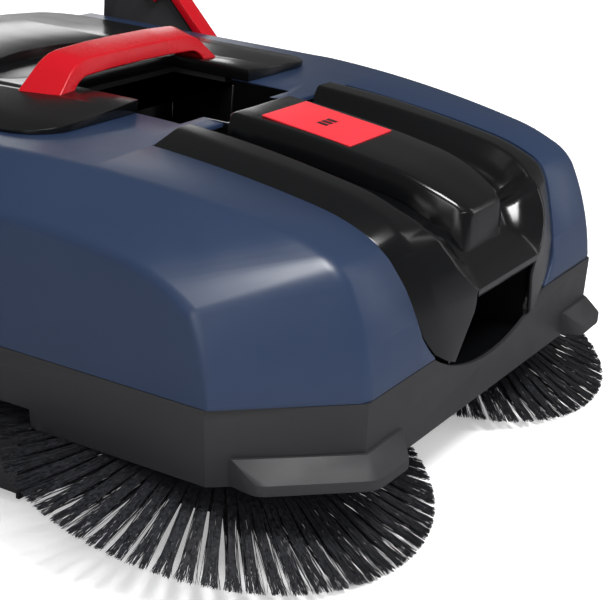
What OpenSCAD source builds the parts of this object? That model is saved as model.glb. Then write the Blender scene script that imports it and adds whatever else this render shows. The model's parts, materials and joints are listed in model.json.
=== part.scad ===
// Push floor sweeper with two tilted disc brushes, driven by its two wheels.
// Frame: +X right, front towards -Y, +Z up, millimetres.
// Origin: on the floor, midway between the two brush centres.

/* [Body] */
// Width of the body over the side walls
body_w = 537; // [500:1:560]
// Height of the seam between the base frame and the front cover
seam_z = 115; // [110:1:120]
// Underside of the base frame at the front
base_z = 60; // [56:1:66]
// Front face of the base frame, ahead of the brush centres
front_y = 129; // [120:1:135]
// Width and depth of the cut-off front corners
corner_cut = 75; // [60:1:85]
// Rear end of the body, behind the brush centres
rear_y = 410; // [400:1:430]
// Wall thickness of the moulded shells
wall = 3; // [2.5:0.5:4]

/* [Brushes] */
// Radius of the circle that the bristle tips sweep
brush_r = 160; // [150:1:165]
// Sideways distance from the middle to each brush centre
brush_x = 166; // [160:1:170]
// Forward tilt of each brush, in degrees
brush_tilt = 12.3; // [11:0.1:13]

/* [Wheels] */
// Radius of the tyre
wheel_r = 100; // [95:1:104]
// Wheel centre, behind the brush centres
wheel_y = 270; // [262:1:280]
// Inner face of the tyre, from the middle
wheel_x = 273; // [272:1:280]
// Width of the tyre
wheel_w = 30; // [24:1:34]

/* [Gears] */
// Pitch radius of the crown gears
crown_r = 60; // [60:1:60]
// Teeth on each crown gear
crown_teeth = 48; // [48:1:48]
// Teeth on each pinion
pinion_teeth = 8; // [8:1:8]

/* [Push bow] */
// Length of the bow from its pivot to the grip
bow_len = 860; // [700:10:950]
// Backward lean of the bow in use, in degrees
bow_lean = 40; // [30:1:45]
// Outer radius of the bow tube
bow_r = 12.5; // [11:0.5:14]

/* [Hidden] */

half_w = body_w / 2;
top_z = 233.9;                       // crown of the front cover
crease_x = half_w - corner_cut;      // front end of the crease beside the top face
seam_gap = 0.3;                      // gap that keeps neighbouring shells apart
run = 0.05;                          // radial running clearance of every shaft
dark = [0.2, 0.2, 0.21];
gloss = [0.06, 0.06, 0.07];
navy = [0.16, 0.22, 0.34];
red = [0.82, 0.08, 0.16];
steel = [0.7, 0.71, 0.73];

// ---- curves ---------------------------------------------------------------
// A chain of tangent arcs that heads towards -Y and bends down: each arc is
// [radius, sweep]. It gives a list of [y, z, heading], with steps per arc.
function arc_chain(y, z, a, arcs, i = 0, steps = 5) =
    i == len(arcs) ? [[y, z, a]] :
    let (r = arcs[i][0], s = arcs[i][1])
    concat([for (k = [0 : steps - 1]) let (t = a + s * k / steps)
               [y - r * (sin(t) - sin(a)), z - r * (cos(a) - cos(t)), t]],
           arc_chain(y - r * (sin(a + s) - sin(a)), z - r * (cos(a) - cos(a + s)), a + s,
                     arcs, i + 1, steps));

// Side view of the top face, and of the crease beside the side wall
top_curve = arc_chain(147, top_z, 0, [[1154, 10], [142, 15], [39, 37], [200, 21]]);
side_curve = arc_chain(96, 205.4, 0, [[511, 9], [115, 22], [160, 5], [10, 27], [165, 20]]);

// Half width of the top face at a station
function crease_half(y) = crease_x + 0.13 * min(max(0, y + 80), 227);

// Points of the cover's outer form, moved inwards by inset
function cover_points(inset, low) = [
    for (side = [-1, 1])
        for (p = concat([[rear_y - inset, top_z, 0]], top_curve, [[-front_y, low, 83]]))
            [side * (crease_half(p[0]) - inset * 0.4), p[0] + inset * sin(p[2]),
             p[2] > 82 && p[1] == low ? low : p[1] - inset * cos(p[2])],
    for (side = [-1, 1])
        for (p = concat([[rear_y - inset, 205.4, 0], [rear_y - inset, low, 0]], side_curve,
                        [[-front_y + corner_cut, low, 83]]))
            [side * (half_w - inset), p[0] + inset * sin(p[2]),
             p[1] == low ? low : p[1] - inset * cos(p[2])]
];
module cover_form(inset, low) {
    points = cover_points(inset, low);
    hull() polyhedron(points, [for (i = [0 : len(points) - 3]) [i, i + 1, i + 2]]);
}

// A closed sheet between two equal grids of points: over faces out, under faces in
module sheet(over, under) {
    rows = len(over);
    cols = len(over[0]);
    first = rows * cols;
    points = concat([for (r = over) each r], [for (r = under) each r]);
    function at(r, c) = r * cols + c;
    faces = concat(
        [for (r = [0 : rows - 2]) for (c = [0 : cols - 2]) each
            [[at(r, c), at(r, c + 1), at(r + 1, c + 1)], [at(r, c), at(r + 1, c + 1), at(r + 1, c)]]],
        [for (r = [0 : rows - 2]) for (c = [0 : cols - 2]) each
            [[first + at(r, c), first + at(r + 1, c + 1), first + at(r, c + 1)],
             [first + at(r, c), first + at(r + 1, c), first + at(r + 1, c + 1)]]],
        [for (r = [0 : rows - 2]) each
            [[at(r, 0), at(r + 1, 0), first + at(r + 1, 0)],
             [at(r, 0), first + at(r + 1, 0), first + at(r, 0)],
             [at(r, cols - 1), first + at(r + 1, cols - 1), at(r + 1, cols - 1)],
             [at(r, cols - 1), first + at(r, cols - 1), first + at(r + 1, cols - 1)]]],
        [for (c = [0 : cols - 2]) each
            [[at(0, c), first + at(0, c), first + at(0, c + 1)],
             [at(0, c), first + at(0, c + 1), at(0, c + 1)],
             [at(rows - 1, c), first + at(rows - 1, c + 1), first + at(rows - 1, c)],
             [at(rows - 1, c), at(rows - 1, c + 1), first + at(rows - 1, c + 1)]]]);
    polyhedron(points, faces, convexity = 8);
}

// ---- frames ---------------------------------------------------------------
brush_z = brush_r * sin(brush_tilt);      // height of the middle of the tip plane
shaft_meet = 45;                          // where the shaft line meets the brush axis
meet_y = -shaft_meet * sin(brush_tilt);
meet_z = brush_z + shaft_meet * cos(brush_tilt);
shaft_rise = atan((wheel_r - meet_z) / (wheel_y - meet_y));
shaft_run = (wheel_y - meet_y) / cos(shaft_rise);
pinion_r = crown_r * pinion_teeth / crown_teeth;
crown_tilt = brush_tilt - shaft_rise;     // slope of the brush crown's teeth
pinion_w = 14;
shaft_r = 5;
spindle_r = 6;
axle_r = 6;
sleeve_r = 12;                            // tube that joins each wheel to its gear
gear_x = brush_x - pinion_r;              // pitch plane of the wheel gears

// Brush frame: Z along the spindle, Z = 0 at the bristle tips, +Y towards the rear
module in_brush(side) {
    translate([side * brush_x, 0, brush_z]) rotate([brush_tilt, 0, 0]) children();
}
// Shaft frame: Z along the shaft towards the wheel, from where it meets the brush axis
module in_shaft(side) {
    translate([side * brush_x, meet_y, meet_z]) rotate([shaft_rise - 90, 0, 0]) children();
}
// Wheel frame: Z along the axle, outwards
module in_wheel(side) {
    translate([0, wheel_y, wheel_r]) rotate([0, side * 90, 0]) children();
}
module both_ways(side) { mirror([side < 0 ? 1 : 0, 0, 0]) children(); }

// ---- chassis --------------------------------------------------------------
draft = 7;                                // how far the side walls lean in to the base
step_y = 86;                             // behind this the base is cut higher
step_z = 74;
deck_z = 108;
function base_outline(inset, lean) = [
    [-half_w + lean + inset, rear_y - inset],
    [-half_w + lean + inset, -front_y + corner_cut + 0.41 * inset],
    [-crease_x + 0.41 * inset + 0.3 * lean, -front_y + inset],
    [crease_x - 0.41 * inset - 0.3 * lean, -front_y + inset],
    [half_w - lean - inset, -front_y + corner_cut + 0.41 * inset],
    [half_w - lean - inset, rear_y - inset]
];
module base_form(inset, low, high) {
    hull() {
        translate([0, 0, high - 0.01]) linear_extrude(0.01) polygon(base_outline(inset, 0));
        translate([0, 0, low]) linear_extrude(0.01) polygon(base_outline(inset, draft));
    }
}
notch_w = 98;                             // half width of the round notch under the insert
notch_drop = 25.3;
notch_r = (pow(notch_w, 2) + pow(notch_drop, 2)) / (2 * notch_drop);
cup_w = 67;                               // half width of the grip cup behind the opening
cup_l = 60;
cup_z = 88;
bin_w = 143;                              // half width of the well for the container
well_y = 157;
well_z = 150;                             // floor of the well in front of the container
module base_frame() {
    color(dark) difference() {
        base_form(0, base_z, seam_z);
        difference() {
            base_form(wall, base_z - 1, seam_z + 1);
            // deck over the brushes and beside the container
            translate([-half_w, -front_y, deck_z]) cube([body_w, rear_y + front_y, 4]);
        }
        // round notch at the front
        translate([0, -front_y + 10, seam_z - notch_drop + notch_r]) rotate([90, 0, 0])
            cylinder(r = notch_r, h = 30, $fn = 400);
        // room for the grip cup of the insert
        translate([-cup_w - 2, -front_y + wall + 0.5, deck_z - 5]) cube([2 * cup_w + 4, cup_l + 4, 20]);
        // room for the container
        translate([-bin_w, well_y, 0]) cube([2 * bin_w, rear_y, 200]);
        // higher underside behind the brushes
        translate([-half_w - 1, step_y, base_z - 1]) cube([body_w + 2, rear_y, step_z - base_z + 1]);
        for (side = [-1, 1]) {
            // wheel gear slot, and the bore that carries the wheel's sleeve
            translate([side * 153 - 10, wheel_y - 72, 0]) cube([20, 144, 200]);
            in_wheel(side) translate([0, 0, 150]) cylinder(r = sleeve_r + run, h = 150, $fn = 64);
        }
        // screw holes
        for (p = screw_spots) translate([p[0], p[1], deck_z - 1]) cylinder(r = 2.1, h = 6, $fn = 32);
    }
}

slot_half = 138;                          // half width of the slot for the insert
slot_rear = 82;
// half width of the slot: it narrows in step with the notch below it
slot_sides = [[115, 96], [121, 103], [128, 109.5], [135, 115], [163, 123.5], [171, 126], [191, 134.5],
              [200, slot_half]];
function insert_half(z) = lookup(z, slot_sides);
module insert_cut(gap) {
    translate([-slot_half - gap, -front_y - 20, 199.9])
        cube([2 * (slot_half + gap), slot_rear + gap + front_y + 20, 60]);
    translate([0, -60, 0]) rotate([90, 0, 0]) linear_extrude(100)
        polygon(concat(
            [for (z = [200 : -8.5 : seam_z - 1]) [insert_half(z) + gap, z]],
            [for (z = [seam_z : 8.5 : 201]) [-insert_half(z) - gap, z]]));
}
screw_spots = [for (side = [-1, 1]) each [[side * 235, -30], [side * 235, 120], [side * 205, 392]]];
module front_cover() {
    color(navy) difference() {
        union() {
            difference() {
                cover_form(0, seam_z);
                cover_form(wall, seam_z - 1);
            }
            // screw posts that reach from the deck to the underside of the shell
            intersection() {
                cover_form(wall / 2, deck_z);
                union() {
                    for (p = screw_spots) translate([p[0], p[1], deck_z + 4]) cylinder(r = 6, h = 130, $fn = 48);
                    // walls and floor of the well in front of the container
                    translate([-81, 98, well_z - 3]) cube([162, 60, 100]);
                    translate([-50, 77, well_z - 3]) cube([100, 30, 100]);
                }
            }
        }
        insert_cut(seam_gap);
        // well in front of the container, with its step
        translate([-78, 101, well_z]) cube([156, 60, 100]);
        translate([-47, 80, well_z]) cube([94, 30, 100]);
        // room for the container
        translate([-bin_w - 0.5, well_y, 100]) cube([2 * bin_w + 1, rear_y, 200]);
        for (side = [-1, 1]) {
            // slots for the bow brackets
            translate([side * bracket_x - 6.5, bracket_y0 - 1, 150])
                cube([13, bracket_y1 - bracket_y0 + 2, 100]);
            // recess under the tip of the clamp lever
            translate([side * bracket_x - 10.5, 270, 150]) cube([21, 30, 100]);
        }
        for (p = screw_spots) translate([p[0], p[1], deck_z]) cylinder(r = 1.7, h = 30, $fn = 32);
    }
}
module cover_screws() {
    color(steel) for (p = screw_spots) translate([p[0], p[1], 0]) {
        translate([0, 0, deck_z - 3]) cylinder(r = 4, h = 3, $fn = 32);
        translate([0, 0, deck_z - 1]) cylinder(r = 1.6, h = 28, $fn = 32);
    }
}

// Insert: rails, channel and a raised block that ends in a nose
insert_rows = concat([[80, top_z - 1.9, 3.3]], [for (p = top_curve) if (p[0] < 75 && p[1] > 158) p]);
function lerp(a, b, t) = a + (b - a) * min(1, max(0, t));
function front_part(p) = (196 - p[1]) / 40;       // 0 at the knee, 1 at the lip
function lift(p, x, off) = [x, p[0] - off * sin(p[2]), p[1] + off * cos(p[2])];
function rail_row(p, drop) = let (
        f = front_part(p),
        outer = insert_half(p[1]) - 0.2,
        rail = lerp(91, 52, f),
        floor_x = lerp(78, 44, f),
        rail_off = lerp(7, 4, f) - drop,
        floor_off = lerp(-12, 12, f) - drop)
    [for (s = [-1, 1]) for (c = s < 0 ?
        [[outer, -2 - drop], [outer - 27, rail_off], [rail, rail_off], [floor_x, floor_off]] :
        [[floor_x, floor_off], [rail, rail_off], [outer - 27, rail_off], [outer, -2 - drop]])
        lift(p, s * c[0], c[1])];
nose_rows = concat([[81, top_z - 1.9, 3.3]], [for (p = top_curve) if (p[0] < 75 && p[2] < 48) p]);
function nose_half(p) = lerp(42.5, 30, (20 - p[0]) / 130);
leg_rows = [for (z = [170 : -8.25 : 104]) [-front_y - 1 + (z - 115) * 0.12, z, 83]];
leg_gap = 4;                              // dark gap round the foot of each leg
function leg_out(p) = p[1] > seam_z ? insert_half(p[1]) - lerp(0.4, leg_gap, (135 - p[1]) / 20) :
    sqrt(pow(notch_r, 2) - pow(seam_z - notch_drop + notch_r - p[1], 2)) - leg_gap;
function leg_in(p) = lerp(50, 66, (140 - p[1]) / 36);
// One leg of the insert, beside the grip opening, drawn from its left edge to its right
module insert_leg(side) {
    edges = [for (p = leg_rows) side < 0 ? [-leg_out(p), -leg_in(p)] : [leg_in(p), leg_out(p)]];
    sheet([for (i = [0 : len(leg_rows) - 1]) [for (x = edges[i]) lift(leg_rows[i], x, 3)]],
          [for (i = [0 : len(leg_rows) - 1]) [for (x = edges[i]) lift(leg_rows[i], x, -6)]]);
}
// The raised block and its nose, moved inwards by inset
module insert_block(inset) {
    sheet([for (p = nose_rows) [for (s = [-1, 1]) lift(p, s * (nose_half(p) - inset), 7.5 - inset)]],
          [for (p = nose_rows) [for (s = [-1, 1]) lift(p, s * (nose_half(p) + 4 - inset), -14 - inset)]]);
}
// Cup for the fingers behind the grip opening, open at its front
module grip_cup() {
    difference() {
        translate([-cup_w, -front_y + wall + 0.6, cup_z]) cube([2 * cup_w, cup_l, 150 - cup_z]);
        translate([-cup_w + wall, -front_y, cup_z + wall])
            cube([2 * (cup_w - wall), cup_l, 150 - cup_z - 2 * wall]);
    }
}
module centre_insert() {
    color(gloss) difference() {
        union() {
            sheet([for (p = insert_rows) rail_row(p, 0)], [for (p = insert_rows) rail_row(p, 3)]);
            difference() {
                insert_block(0);
                translate([0, 0, -3]) intersection() {
                    insert_block(3);
                    translate([-100, -100, 100]) cube([200, 176, 200]);
                }
            }
            for (side = [-1, 1]) insert_leg(side);
            grip_cup();
        }
        label_place() translate([0, 0, 5]) cube([label_w, label_l, 10], center = true);
    }
}

label_l = 76;
label_w = 64;
module label_place() {
    translate([0, 22, 234.2]) rotate([6.5, 0, 0]) children();
}
module label_plate() {
    color([1, 0.3, 0.33]) label_place() translate([0, 0, 0.6]) cube([label_w, label_l, 1.2], center = true);
}

// A bumper: a slope that leaves the wall at its top, and an upright shoulder below it
bumper_corner_r = 7;
module bumper_slab(z, h, points) {
    translate([0, 0, z]) linear_extrude(h) offset(r = bumper_corner_r, $fn = 48)
        offset(delta = -bumper_corner_r) polygon(points);
}
module bumper(side) {
    both_ways(side) color(dark) difference() {
        hull() {
            bumper_slab(80, 0.8,
                [[255, -68], [193.5, -131.5], [143.5, -131], [143.5, -112], [186, -112], [249, -56]]);
            bumper_slab(61, 7,
                [[255.5, -87.4], [199.2, -143.7], [154, -144.6], [144, -112], [186, -112], [249, -56]]);
        }
        base_form(0, base_z, seam_z);
    }
}

ramp_w = 263;
module dirt_ramp() {
    color(dark) difference() {
        union() {
            // scoop that lifts the sweepings into the container
            rotate([90, 0, 90]) translate([0, 0, -ramp_w]) linear_extrude(2 * ramp_w)
                polygon([[96, 8], [100, 8], [156, 52], [156, 56], [96, 12]]);
            for (side = [-1, 1]) {
                translate([side * (ramp_w - 1.5) - 1.5, 96, 8]) cube([3, 200, 40]);
                translate([side * (ramp_w - 1.5) - 1.5, 160, 8]) cube([3, 136, step_z - 8]);
            }
            // wall between the ramp and the container's housing
            translate([-ramp_w, 156, 24]) cube([2 * ramp_w, 3, 32]);
        }
    }
}
module sweep_lip() {
    color([0.08, 0.08, 0.08]) translate([-ramp_w + 4, 97, 2]) cube([2 * ramp_w - 8, 3, 6]);
}
module bin_housing() {
    color(dark) difference() {
        union() {
            for (side = [-1, 1]) translate([side * (bin_w - 1.5) - 1.5, 159, 24]) cube([3, rear_y - 159, 92]);
            translate([-bin_w, 159, 24]) cube([2 * bin_w, rear_y - 159, 3]);
        }
        for (side = [-1, 1]) in_wheel(side) translate([0, 0, 100]) cylinder(r = axle_r, h = 80, $fn = 48);
    }
}
module axle(side) {
    color(steel) in_wheel(side) {
        translate([0, 0, bin_w - 6]) cylinder(r = axle_r + 4, h = 3, $fn = 48);
        translate([0, 0, bin_w - 6]) cylinder(r = axle_r, h = wheel_x + wheel_w + 4 - bin_w + 6, $fn = 48);
    }
}
boss_low = 40;
module brush_boss(side) {
    color(dark) difference() {
        intersection() {
            in_brush(side) difference() {
                translate([0, 0, boss_low]) cylinder(r = 14, h = 60, $fn = 64);
                translate([0, 0, boss_low - 1]) cylinder(r = spindle_r, h = 70, $fn = 48);
            }
            translate([-400, -200, 0]) cube([800, 400, deck_z]);
        }
    }
}
module brush_spindle(side) {
    color(steel) in_brush(side) {
        translate([0, 0, 4]) cylinder(r = 11, h = 4, $fn = 48);
        translate([0, 0, 4]) cylinder(r = spindle_r, h = 66, $fn = 48);
    }
}
module shaft_bearings(side) {
    color([0.85, 0.75, 0.4]) intersection() {
        in_shaft(side) for (z = [86, shaft_run - 88]) translate([0, 0, z]) difference() {
            translate([-11, -60, 0]) cube([22, 71, 10]);
            translate([0, 0, -1]) cylinder(r = shaft_r + run, h = 12, $fn = 48);
        }
        translate([-400, 0, 0]) cube([800, 400, deck_z]);
    }
}

bracket_x = 232;
bracket_y0 = 288;
bracket_y1 = 400;
pivot_y = 378;
pivot_z = 268;
lever_pin_r = 2.5;
module bow_bracket(side) {
    color(dark) difference() {
        translate([side * bracket_x - 6, 0, 0]) rotate([90, 0, 90]) linear_extrude(12)
            polygon([[bracket_y0, deck_z + 4], [bracket_y1, deck_z + 4], [bracket_y1, 280],
                     [388, 292], [358, 292], [bracket_y0, 222]]);
        translate([0, pivot_y, pivot_z]) rotate([0, 90, 0]) cylinder(r = 5, h = 600, center = true, $fn = 48);
        lever_place(side) rotate([0, 90, 0]) cylinder(r = lever_pin_r + run, h = 40, center = true, $fn = 32);
    }
}
module bow_pin(side) {
    color(steel) translate([side * 224, pivot_y, pivot_z]) rotate([0, side * 90, 0]) {
        cylinder(r = 8, h = 2, $fn = 48);
        cylinder(r = 5, h = 48, $fn = 48);
        translate([0, 0, 14]) cylinder(r = 8, h = bow_x - bow_r - 238.3, $fn = 48);
        translate([0, 0, 45]) cylinder(r = 8, h = 3, $fn = 48);
    }
}

// ---- wheels ---------------------------------------------------------------
module wheel_rim(side) {
    color(dark) in_wheel(side) difference() {
        union() {
            translate([0, 0, gear_x - tooth_root])
                cylinder(r = sleeve_r, h = wheel_x - gear_x + tooth_root + 4, $fn = 64);
            translate([0, 0, wheel_x + 2]) cylinder(r = 20, h = wheel_w - 4, $fn = 64);
            translate([0, 0, wheel_x + 10]) cylinder(r = 84, h = 8, $fn = 96);
            for (a = [0 : 60 : 300]) rotate([0, 0, a])
                translate([18, -3, wheel_x + 10]) cube([64, 6, wheel_w - 14]);
            translate([0, 0, wheel_x + 1]) difference() {
                cylinder(r = 88, h = wheel_w - 2, $fn = 96);
                translate([0, 0, -1]) cylinder(r = 80, h = wheel_w, $fn = 96);
            }
        }
        translate([0, 0, 100]) cylinder(r = axle_r + run, h = 300, $fn = 48);
    }
}
module tyre(side) {
    color([0.07, 0.07, 0.07]) in_wheel(side) rotate_extrude($fn = 96) difference() {
        translate([88, wheel_x]) square([wheel_r - 88, wheel_w]);
        for (z = [wheel_x + 9, wheel_x + 19]) translate([wheel_r - 2, z]) square([4, 2]);
        polygon([[wheel_r - 3, wheel_x - 1], [wheel_r + 1, wheel_x - 1], [wheel_r + 1, wheel_x + 3]]);
        polygon([[wheel_r - 3, wheel_x + wheel_w + 1], [wheel_r + 1, wheel_x + wheel_w + 1],
                 [wheel_r + 1, wheel_x + wheel_w - 3]]);
    }
}
module wheel_cap(side) {
    color(red) in_wheel(side) translate([0, 0, wheel_x + wheel_w - 2]) difference() {
        cylinder(r = 19, h = 9, $fn = 64);
        translate([0, 0, -1]) cylinder(r = 9, h = 8, $fn = 64);
    }
}
tooth_top = 1.9;                          // addendum of every gear
tooth_root = 2.8;                         // dedendum
module crown_tooth(w) {
    translate([crown_r - w / 2, -0.95, -tooth_root - 0.5]) cube([w, 1.9, tooth_root + tooth_top + 0.5]);
}
module wheel_gear(side) {
    color([0.9, 0.9, 0.86]) in_wheel(side) difference() {
        union() {
            translate([0, 0, gear_x - tooth_root - 5]) cylinder(r = crown_r + 8, h = 5, $fn = 96);
            // the meshing side points forwards and down, so the teeth are counted from there
            rotate([0, 0, side > 0 ? shaft_rise + 90 : -shaft_rise - 90])
                for (k = [0 : crown_teeth - 1]) rotate([0, 0, (k + 0.5) * 360 / crown_teeth])
                    translate([0, 0, gear_x]) crown_tooth(12);
        }
        translate([0, 0, 100]) cylinder(r = axle_r + run, h = 54, $fn = 48);
    }
}
module pinion(bore) {
    tip = pinion_r + tooth_top;
    difference() {
        union() {
            cylinder(r = pinion_r - tooth_root, h = pinion_w, $fn = 48);
            for (k = [0 : pinion_teeth - 1]) rotate([0, 0, k * 360 / pinion_teeth])
                linear_extrude(pinion_w) polygon([
                    [bore + 1, -2.0], [tip - 3.5, -2.0], [tip, -0.8],
                    [tip, 0.8], [tip - 3.5, 2.0], [bore + 1, 2.0]]);
        }
        translate([0, 0, -1]) cylinder(r = bore, h = pinion_w + 2, $fn = 48);
    }
}
module front_pinion(side) {
    color([0.9, 0.9, 0.86]) in_shaft(side)
        translate([0, 0, crown_r - pinion_w / 2]) rotate([0, 0, 90]) pinion(shaft_r);
}
module rear_pinion(side) {
    color([0.9, 0.9, 0.86]) in_shaft(side)
        translate([0, 0, shaft_run - crown_r - pinion_w / 2]) pinion(shaft_r);
}
module drive_shaft(side) {
    color(steel) in_shaft(side)
        translate([0, 0, crown_r - pinion_w / 2 - 3])
            cylinder(r = shaft_r, h = shaft_run - 2 * crown_r + pinion_w + 6, $fn = 48);
}

// ---- brushes --------------------------------------------------------------
plate_low = 9;
plate_r = 90;
crown_z = shaft_meet - crown_r * tan(crown_tilt) - pinion_r / cos(crown_tilt);
module brush_plate(side) {
    color(dark) in_brush(side) difference() {
        union() {
            rotate_extrude($fn = 96) polygon([
                [spindle_r + run, plate_low], [20, plate_low], [24, plate_low + 2], [80, plate_low + 2],
                [84, plate_low], [plate_r, plate_low], [plate_r, plate_low + 8], [plate_r - 6, plate_low + 10],
                [crown_r + 12, plate_low + 10], [crown_r + 8, crown_z - tooth_root - 1.4],
                [crown_r - 8, crown_z - tooth_root + 0.8], [crown_r - 14, plate_low + 8],
                [22, plate_low + 8], [16, boss_low - 1], [spindle_r + run, boss_low - 1]]);
            for (k = [0 : crown_teeth - 1]) rotate([0, 0, 90 + (k + 0.5) * 360 / crown_teeth])
                translate([0, 0, crown_z]) translate([crown_r, 0, 0]) rotate([0, crown_tilt, 0])
                    translate([-crown_r, 0, 0]) crown_tooth(12);
        }
    }
}
module bristles(side) {
    color([0.1, 0.1, 0.11]) in_brush(side) rotate_extrude($fn = 110)
        polygon([[plate_r, plate_low], [plate_r, plate_low + 3], [brush_r, 1.2], [brush_r, 0],
                 [brush_r - 8, 0]]);
}

// ---- container ------------------------------------------------------------
tub_w = 136;
tub_y0 = 163;
tub_y1 = 424;
tub_z = 27.3;
lid_low = 230;
pocket_w = 77;                            // half width of the pocket under the handle
pocket_y = 214;                           // its rear wall
pocket_z = 190;                           // its floor
module container_tub() {
    color(gloss) difference() {
        union() {
            translate([-tub_w, tub_y0, tub_z]) cube([2 * tub_w, tub_y1 - tub_y0, lid_low - tub_z]);
            translate([-76, 152, well_z + 1]) cube([152, 20, lid_low - well_z - 1]);
        }
        difference() {
            translate([-tub_w + 2.5, tub_y0 + 2.5, tub_z + 2.5])
                cube([2 * tub_w - 5, tub_y1 - tub_y0 - 5, lid_low - tub_z]);
            translate([-pocket_w - 2.5, 100, pocket_z - 2.5])
                cube([2 * pocket_w + 5, pocket_y + 2.5 - 100, 60]);
        }
        translate([-73.5, 154.5, well_z + 3.5]) cube([147, 20, pocket_z - 2.5 - well_z - 3.5]);
        // pocket for the fingers under the handle, open at its front and top
        translate([-73.5, 100, pocket_z]) cube([147, 70, 60]);
        translate([-pocket_w, tub_y0 + 2.5, pocket_z]) cube([2 * pocket_w, pocket_y - tub_y0 - 2.5, 60]);
        // mouth above the ramp
        translate([-tub_w + 10, tub_y0 - 1, 58]) cube([2 * tub_w - 20, 5, 50]);
    }
}
lid_w = 192;
lid_front = 140;
lid_r = 38;                               // corner radius of the lid
lid_edge = 234.2;                         // underside of the lid, just over the cover
lid_top = 245.5;
lid_fall = 9.3;                           // how far the lid's top falls to its side edges
function arc_points(x, y, r, a) = [for (t = [a : 7.5 : a + 90]) [x + r * cos(t), y + r * sin(t)]];
function lid_outline(inset) = let (w = lid_w - inset, y0 = lid_front + inset, y1 = tub_y1 + 2 - inset)
    concat(arc_points(w - lid_r, y1 - lid_r, lid_r, 0), arc_points(-w + lid_r, y1 - lid_r, lid_r, 90),
           arc_points(-w + lid_r, y0 + lid_r, lid_r, 180), arc_points(w - lid_r, y0 + lid_r, lid_r, 270));
function lid_z(x) = lid_top - lid_fall * pow(x / lid_w, 2);
// The lid is a cap: its underside lies level, and its middle is raised
module lid_dome(drop) {
    translate([0, 500, 0]) rotate([90, 0, 0]) linear_extrude(400)
        polygon(concat([[lid_w + 8, 200], [-lid_w - 8, 200]],
                       [for (x = [-lid_w - 8 : 8 : lid_w + 8]) [x, lid_z(x) - drop]]));
}
module container_lid() {
    color(gloss) difference() {
        intersection() {
            translate([0, 0, lid_edge]) linear_extrude(20) polygon(lid_outline(0));
            lid_dome(0);
        }
        // straight edges round the pocket, and tips at its front
        translate([-pocket_w + 0.5, 100, 200]) cube([2 * pocket_w - 1, pocket_y - 100, 80]);
        // oval recess behind the handle
        translate([0, 0, lid_edge + 3]) linear_extrude(30)
            polygon([for (t = [0 : 6 : 354]) [98 * cos(t), 262 + 40 * sin(t)]]);
        for (s = [-1, 1]) translate([s * handle_x, handle_y, 200]) cylinder(r = 2.1, h = 60, $fn = 32);
    }
}
module container_seal() {
    color([0.05, 0.05, 0.05]) difference() {
        translate([-tub_w, tub_y0, lid_low]) cube([2 * tub_w, tub_y1 - tub_y0, lid_edge - lid_low]);
        difference() {
            translate([-tub_w + 3, tub_y0 + 3, lid_low - 1]) cube([2 * tub_w - 6, tub_y1 - tub_y0 - 6, 10]);
            translate([-pocket_w - 2.5, 100, 200]) cube([2 * pocket_w + 5, pocket_y + 2.5 - 100, 60]);
        }
        translate([-pocket_w, 100, 200]) cube([2 * pocket_w, pocket_y - 100, 60]);
    }
}
handle_x = 105;                           // middle of each foot of the handle
handle_y = 206;
module handle_block(x, y, z, sx, sy, sz) {
    translate([x - sx / 2, y - sy / 2, z]) cube([sx, sy, sz]);
}
module carry_handle() {
    color(red) difference() {
        union() {
            hull() for (s = [-1, 1]) handle_block(s * 66, 207, 253, 16, 28, 14.5);
            for (s = [-1, 1]) hull() {
                handle_block(s * 74, 207, 252, 14, 28, 13.5);
                handle_block(s * handle_x, handle_y, 234, 24, 36, 4);
            }
        }
        // the feet follow the lid
        lid_dome(0);
        for (s = [-1, 1]) translate([s * handle_x, handle_y, 200]) cylinder(r = 1.6, h = 48, $fn = 32);
    }
}
module handle_screws() {
    color(steel) for (s = [-1, 1]) translate([s * handle_x, handle_y, 0]) {
        translate([0, 0, lid_edge - 3]) cylinder(r = 4, h = 3, $fn = 32);
        translate([0, 0, lid_edge - 3]) cylinder(r = 1.6, h = 13, $fn = 32);
    }
}

// ---- push bow -------------------------------------------------------------
bow_x = 256;
bow_bend = 70;
module in_bow() {
    translate([0, pivot_y, pivot_z]) rotate([-bow_lean, 0, 0]) children();
}
module bow_run(r, below) {
    for (s = [-1, 1]) {
        translate([s * bow_x, 0, -below]) cylinder(r = r, h = bow_len - bow_bend + below, $fn = 64);
        translate([s * (bow_x - bow_bend), 0, bow_len - bow_bend]) rotate([90, 0, 0]) both_ways(s)
            rotate_extrude(angle = 90, $fn = 96) translate([bow_bend, 0]) circle(r = r, $fn = 64);
    }
    translate([0, 0, bow_len]) rotate([0, 90, 0])
        cylinder(r = r, h = 2 * (bow_x - bow_bend), center = true, $fn = 64);
}
module bow_tube() {
    color(steel) in_bow() difference() {
        bow_run(bow_r, 22);
        bow_run(bow_r - 1.5, 23);
        rotate([0, 90, 0]) cylinder(r = 5 + run, h = 600, center = true, $fn = 48);
    }
}
module bow_grip() {
    color([0.08, 0.08, 0.08]) in_bow() translate([0, 0, bow_len]) rotate([0, 90, 0]) difference() {
        cylinder(r = bow_r + 5, h = 300, center = true, $fn = 64);
        cylinder(r = bow_r, h = 302, center = true, $fn = 64);
    }
}
lever_len = 72;
lever_drop = 8;                           // depth of the lever's pin under its inner face
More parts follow.
